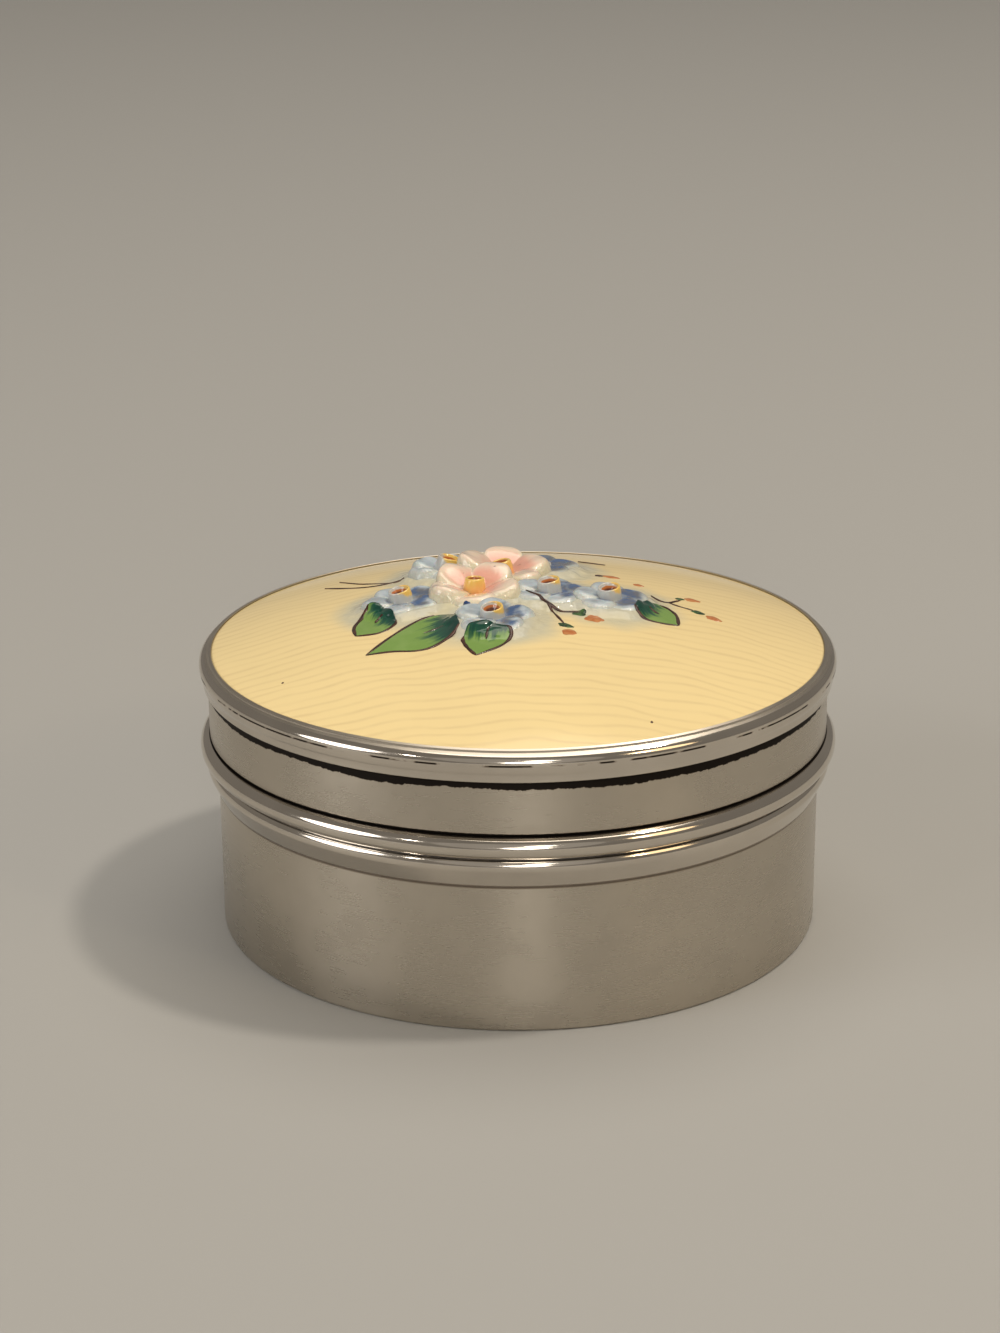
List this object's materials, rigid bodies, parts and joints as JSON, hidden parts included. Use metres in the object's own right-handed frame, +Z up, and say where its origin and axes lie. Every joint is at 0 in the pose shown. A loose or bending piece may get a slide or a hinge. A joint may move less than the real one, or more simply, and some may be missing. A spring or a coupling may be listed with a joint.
{
  "type": "trinket box",
  "caption": "Round silver trinket box with a reeded ring round the cup and a lift-off lid topped by a domed enamel plaque with raised flowers.",
  "frame": {"origin": "centre of the underside, on the surface that the box stands on", "axes": "+Z up through the lid, -Y towards the front of the bouquet"},
  "size_m": [0.0636, 0.0636, 0.0352],
  "materials": {
    "satin_silver": "satin silver, finely brushed, tarnished black in the seams",
    "polished_silver": "polished silver with fine wear",
    "cream_enamel": "glossy translucent cream enamel over wavy engine-turned lines, with painted leaves and raised pink and blue enamel flowers"
  },
  "bodies": {
    "root": {"box_body": "satin_silver", "stop_ring": "polished_silver", "lid_shell": "satin_silver", "bezel_ring": "polished_silver", "enamel_plaque": "cream_enamel"}
  },
  "joints": []
}
